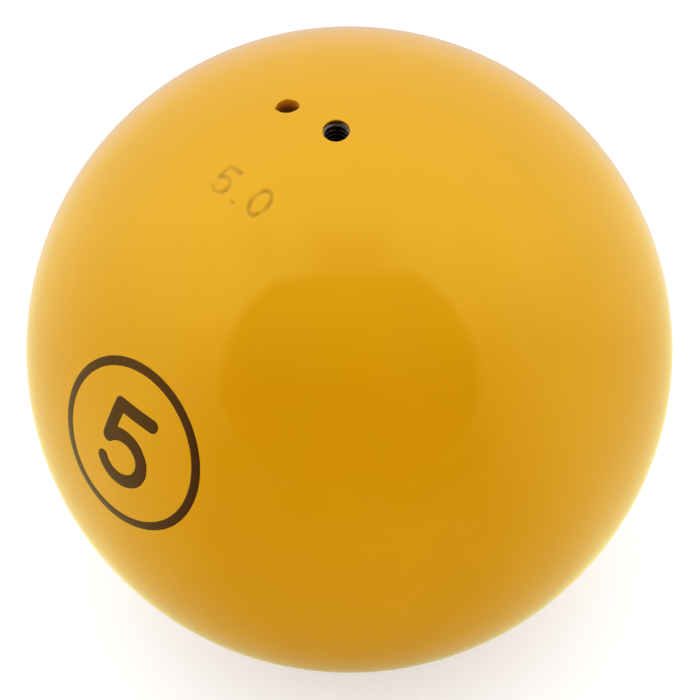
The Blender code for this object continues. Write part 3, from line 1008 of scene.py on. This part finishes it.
def mirroredLight(tree, way, right, up, back):
    # Brightness and colour that the gloss mirrors from a direction, seen from the ball
    def along(vector, towards):
        # How far a vector goes one way
        node = addNode(tree, "VectorMath", {0: vector, 1: tuple(towards)}, operation="DOT_PRODUCT")
        return node.outputs["Value"]

    def ranged(value, reach, first=0, last=1):
        # From the first value to the last as the given one crosses its reach
        return addNode(tree, "MapRange", {
            "Value": value, "From Min": reach[0], "From Max": reach[1], "To Min": first, "To Max": last})

    def worked(operation, first, second=0.0):
        # One step of arithmetic
        return addNode(tree, "Math", {0: first, 1: second}, operation=operation)

    def apartFrom(place, sizeAcross=1.0, sizeAbove=1.0):
        # How far a shown place lies from another, in units of a width and a height
        x = worked("DIVIDE", worked("SUBTRACT", across, place[0]), sizeAcross)
        y = worked("DIVIDE", worked("SUBTRACT", above, place[1]), sizeAbove)
        flat = addNode(tree, "CombineXYZ", {"X": x, "Y": y})
        return addNode(tree, "VectorMath", {0: flat}, operation="LENGTH").outputs["Value"]

    # The ball shows a direction where its own normal lies halfway between it and the camera
    halfway = addNode(tree, "VectorMath", {0: way, 1: tuple(back)}, operation="ADD")
    shown = addNode(tree, "VectorMath", {0: halfway}, operation="NORMALIZE")
    across, above = along(shown, right), along(shown, up)
    behind = along(way, back)
    raised = worked("MULTIPLY", ranged(behind, tent["backFade"]), ranged(above, tent["highReach"]))
    panels = ranged(raised, (0, 1), tent["midPanel"], tent["highPanel"])
    beyondGap = worked("MAXIMUM", ranged(above, tent["gapTop"]), ranged(above, tent["gapFoot"]))
    gap = mixed(tree, beyondGap,
                ranged(worked("ABSOLUTE", across), tent["gapReach"], tent["gapShade"]), 1.0)
    fromSeam = worked("SUBTRACT", along(shown, right + tent["seamSlope"] * up), tent["seamPlace"])
    seamSide = (tent["seamHalf"], 2 * tent["seamHalf"])
    seam = ranged(worked("ABSOLUTE", fromSeam), seamSide, tent["seamShade"])
    seamMiddle, seamEnd = tent["seamReach"]
    upSeam = worked("ABSOLUTE", worked("SUBTRACT", above, seamMiddle))
    beyondSeam = ranged(upSeam, (seamEnd - tent["seamFade"], seamEnd))
    gap = worked("MULTIPLY", gap, mixed(tree, beyondSeam, seam, 1.0))
    low = mixed(tree, ranged(above, tent["lowFade"]),
                ranged(apartFrom(tent["lowMiddle"]), tent["lowReach"], tent["lowShade"]), 1.0)
    sillEdge = (tent["sillRadius"] - tent["sillEdge"], tent["sillRadius"] + tent["sillEdge"])
    sill = mixed(tree, ranged(above, tent["sillFade"]),
                 ranged(apartFrom(tent["sillMiddle"]), sillEdge, tent["sillShade"]), 1.0)
    left = ranged(apartFrom(tent["leftMiddle"]), tent["leftReach"], tent["leftGlow"])
    rim = ranged(behind, tent["rimReach"], tent["rimShade"])
    for share in (gap, low, sill, left, rim):
        panels = worked("MULTIPLY", panels, share)
    # Distance out from the opening: from its oval, and from its straight top
    middle, (wide, high, deep) = tent["openingMiddle"], tent["openingHalf"]
    waist = (middle[1] - tent["openingWaist"], middle[1] + tent["openingWaist"])
    tall = ranged(above, waist, deep, high)
    oval = worked("MULTIPLY", worked("SUBTRACT", apartFrom(middle, wide, tall), 1.0), high)
    towards, reach = tent["openingLintel"]
    beyond = worked("SUBTRACT", along(shown, towards[0] * right + towards[1] * up), reach)
    outside = ranged(worked("MAXIMUM", oval, beyond), (-tent["openingEdge"], tent["openingEdge"]))
    opening = ranged(above, tent["openingFade"], tent["openingFoot"], tent["openingTop"])
    warm = mixed(tree, outside, tent["openingWarmth"], tent["panelWarmth"], "RGBA")
    colour = mixed(tree, ranged(behind, tent["warmFade"]), tent["behindWarmth"], warm, "RGBA")
    return mixed(tree, outside, opening, panels), colour


def makeFloor(right, up, back):
    # White board that keeps the ball's shadow. The gloss mirrors it as part of the tent, by the
    # direction in which each place on it lies from the ball
    look = floorLook
    half, z = look["half"], -(ballRadius + look["gap"]) / 1000
    mesh = bpy.data.meshes.new("floorBoard")
    corners = [(-half, -half, z), (half, -half, z), (half, half, z), (-half, half, z)]
    mesh.from_pydata(corners, [], [(0, 1, 2, 3)])
    floor = bpy.data.objects.new("floorBoard", mesh)
    bpy.context.scene.collection.objects.link(floor)
    material, tree, shader, place = newFinish("matWhiteBoard")
    path = addNode(tree, "LightPath")
    isGlossy, isCamera = path.outputs["Is Glossy Ray"], path.outputs["Is Camera Ray"]
    way = addNode(tree, "VectorMath", {0: place}, operation="NORMALIZE")
    fromFoot = addNode(tree, "VectorMath", {0: place, 1: (0, 0, z)}, operation="DISTANCE")
    near, far = look["contactShade"]
    clear = addNode(tree, "MapRange", {
        "Value": fromFoot.outputs["Value"], "From Min": near, "From Max": far})
    light, colour = mirroredLight(tree, way, right, up, back)
    mirrored = addNode(tree, "Math", {0: light, 1: clear}, operation="MULTIPLY")
    bounce = (*[look["bounce"]] * 3, 1.0)
    unseen = mixed(tree, isGlossy, bounce, (0, 0, 0, 1), "RGBA")
    shade = mixed(tree, isCamera, unseen, look["colour"], "RGBA")
    glow = mixed(tree, isCamera, mixed(tree, isGlossy, 0.0, mirrored), look["glow"])
    tint = mixed(tree, isCamera, colour, look["glowColour"], "RGBA")
    setInputs(tree, shader, {
        "Base Color": shade, "Emission Strength": glow, "Emission Color": tint,
        "Roughness": look["roughness"], "Specular IOR Level": 0.0})
    mesh.materials.append(material)


def makeTent(right, up, back):
    # The world is a light tent: an even glow for every matt surface, panels and a dark opening for
    # what gloss mirrors, and plain white for what the camera sees past the floor
    world = bpy.data.worlds.new("lightTent")
    bpy.context.scene.world = world
    world.use_nodes = True
    tree = world.node_tree
    tree.nodes.clear()
    way = addNode(tree, "TexCoord").outputs["Generated"]
    apart = addNode(tree, "SeparateXYZ", {"Vector": way})
    plain = addNode(tree, "MapRange", {
        "Value": apart.outputs["Z"], "From Min": tent["sideHeight"], "To Min": tent["sideLight"],
        "To Max": tent["skyLight"]})
    facing = addNode(tree, "VectorMath", {0: way, 1: tuple(back)}, operation="DOT_PRODUCT")
    share = addNode(tree, "MapRange", {
        "Value": facing.outputs["Value"], "From Min": -1.0, "To Min": tent["backLight"],
        "To Max": tent["frontLight"]})
    even = addNode(tree, "Math", {0: plain, 1: share}, operation="MULTIPLY")
    path = addNode(tree, "LightPath")
    isGlossy, isCamera = path.outputs["Is Glossy Ray"], path.outputs["Is Camera Ray"]
    light, colour = mirroredLight(tree, way, right, up, back)
    lit = mixed(tree, isGlossy, even, light)
    tint = mixed(tree, isGlossy, (1, 1, 1, 1), colour, "RGBA")
    strength = mixed(tree, isCamera, lit, 1.0)
    glow = addNode(tree, "Background", {"Strength": strength, "Color": tint})
    addNode(tree, "OutputWorld", {"Surface": glow})


right, up, back = makeCamera()
makeFloor(right, up, back)
makeTent(right, up, back)
bpy.context.scene.view_settings.view_transform = "Standard"
print("camera, floor and light ready")
